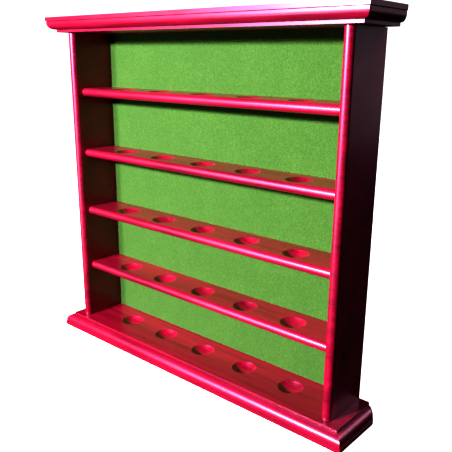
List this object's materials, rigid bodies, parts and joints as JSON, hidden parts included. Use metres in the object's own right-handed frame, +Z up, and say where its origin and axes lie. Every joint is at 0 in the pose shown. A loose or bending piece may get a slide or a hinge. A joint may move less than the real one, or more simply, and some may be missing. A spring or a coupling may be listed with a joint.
{
  "type": "golf ball display cabinet",
  "caption": "Open-fronted wall or desk cabinet with dished shelves that each hold a row of golf balls against a baize-lined back.",
  "frame": {"origin": "on the surface the cabinet stands on, at the middle of its outline", "axes": "+Z up, open front faces -Y, +X to the viewer's right when facing the front"},
  "size_m": [0.385, 0.066, 0.3535],
  "materials": {
    "lacquered_wood": "mahogany-red gloss lacquer over fine-grained hardwood",
    "green_baize": "matt green wool-blend baize",
    "bare_panel": "bare thin plywood",
    "beech_dowel": "bare beech",
    "zinc_steel": "zinc-plated",
    "brass_plate": "satin"
  },
  "bodies": {
    "root": {"top_board": "lacquered_wood", "base_board": "lacquered_wood", "left_side": "lacquered_wood", "right_side": "lacquered_wood", "shelf_1": "lacquered_wood", "shelf_2": "lacquered_wood", "shelf_3": "lacquered_wood", "shelf_4": "lacquered_wood", "back_panel": "bare_panel", "baize_lining": "green_baize", "shelf_1_dowel_left_front": "beech_dowel", "shelf_1_dowel_left_rear": "beech_dowel", "shelf_1_dowel_right_front": "beech_dowel", "shelf_1_dowel_right_rear": "beech_dowel", "shelf_2_dowel_left_front": "beech_dowel", "shelf_2_dowel_left_rear": "beech_dowel", "shelf_2_dowel_right_front": "beech_dowel", "shelf_2_dowel_right_rear": "beech_dowel", "shelf_3_dowel_left_front": "beech_dowel", "shelf_3_dowel_left_rear": "beech_dowel", "shelf_3_dowel_right_front": "beech_dowel", "shelf_3_dowel_right_rear": "beech_dowel", "shelf_4_dowel_left_front": "beech_dowel", "shelf_4_dowel_left_rear": "beech_dowel", "shelf_4_dowel_right_front": "beech_dowel", "shelf_4_dowel_right_rear": "beech_dowel", "top_dowel_left_front": "beech_dowel", "top_dowel_left_rear": "beech_dowel", "top_dowel_right_front": "beech_dowel", "top_dowel_right_rear": "beech_dowel", "base_screw_left_front": "zinc_steel", "base_screw_left_rear": "zinc_steel", "base_screw_right_front": "zinc_steel", "base_screw_right_rear": "zinc_steel", "panel_pin_left_1": "zinc_steel", "panel_pin_left_2": "zinc_steel", "panel_pin_left_3": "zinc_steel", "panel_pin_left_4": "zinc_steel", "panel_pin_right_1": "zinc_steel", "panel_pin_right_2": "zinc_steel", "panel_pin_right_3": "zinc_steel", "panel_pin_right_4": "zinc_steel", "hanger_plate_left": "brass_plate", "hanger_screw_left_inner": "zinc_steel", "hanger_screw_left_outer": "zinc_steel", "hanger_plate_right": "brass_plate", "hanger_screw_right_inner": "zinc_steel", "hanger_screw_right_outer": "zinc_steel"}
  },
  "joints": []
}
